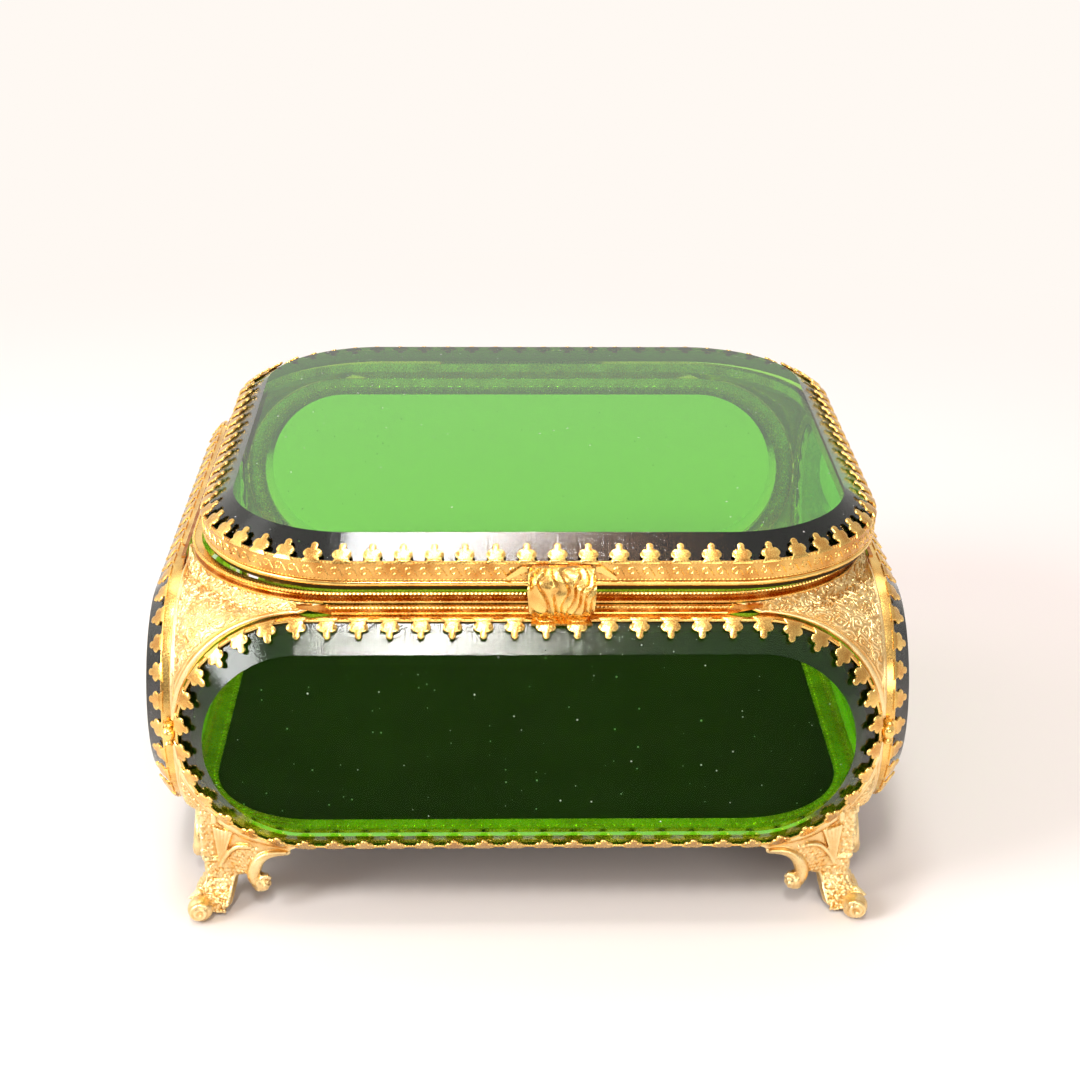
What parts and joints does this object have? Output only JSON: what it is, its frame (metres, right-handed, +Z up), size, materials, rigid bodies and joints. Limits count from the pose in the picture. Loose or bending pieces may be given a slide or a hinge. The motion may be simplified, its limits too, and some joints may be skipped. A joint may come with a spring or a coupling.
{
  "type": "glass casket box",
  "caption": "Square casket with thick bevelled green glass walls and lid held in gilt metal by bent prongs, a velvet-covered base, scrolled cast feet, a hinged lid and a bowed clasp.",
  "frame": {"origin": "centre of the footprint, on the surface that the casket stands on", "axes": "+X to the right of someone who faces the clasp, -Y is the front with the clasp, +Z is up"},
  "size_m": [0.166, 0.158, 0.0885],
  "materials": {
    "green_glass": "polished, clear green, ground bevels",
    "stamped_gilt": "stamped and gilt, bright",
    "cast_gilt": "cast and gilt, satin",
    "dark_velvet": "dark velvet over a stiff board, matte"
  },
  "bodies": {
    "casket": {"gallery_rim": "stamped_gilt", "front_strip": "stamped_gilt", "back_strip": "stamped_gilt", "left_strip": "stamped_gilt", "right_strip": "stamped_gilt", "front_bezel": "stamped_gilt", "back_bezel": "stamped_gilt", "left_bezel": "stamped_gilt", "right_bezel": "stamped_gilt", "front_glass": "green_glass", "back_glass": "green_glass", "left_glass": "green_glass", "right_glass": "green_glass", "front_left_corner": "cast_gilt", "front_right_corner": "cast_gilt", "back_left_corner": "cast_gilt", "back_right_corner": "cast_gilt", "front_left_lower_corner": "cast_gilt", "front_right_lower_corner": "cast_gilt", "back_left_lower_corner": "cast_gilt", "back_right_lower_corner": "cast_gilt", "corner_posts": "stamped_gilt", "base_frame": "stamped_gilt", "base_panel": "dark_velvet", "front_left_foot": "cast_gilt", "front_right_foot": "cast_gilt", "back_left_foot": "cast_gilt", "back_right_foot": "cast_gilt", "body_hinge_leaf": "stamped_gilt", "hinge_pin": "stamped_gilt"},
    "lid": {"lid_glass": "green_glass", "lid_bezel": "stamped_gilt", "lid_wire": "stamped_gilt", "clasp_tab": "stamped_gilt", "clasp_wings": "stamped_gilt", "lid_hinge_leaf": "stamped_gilt"}
  },
  "joints": [
    {"name": "lid_hinge", "type": "hinge", "parent": "casket", "child": "lid", "pos_m": [0, 0.0743, 0.0784], "axis": [-1, 0, 0], "range_deg": [0, 100]}
  ]
}
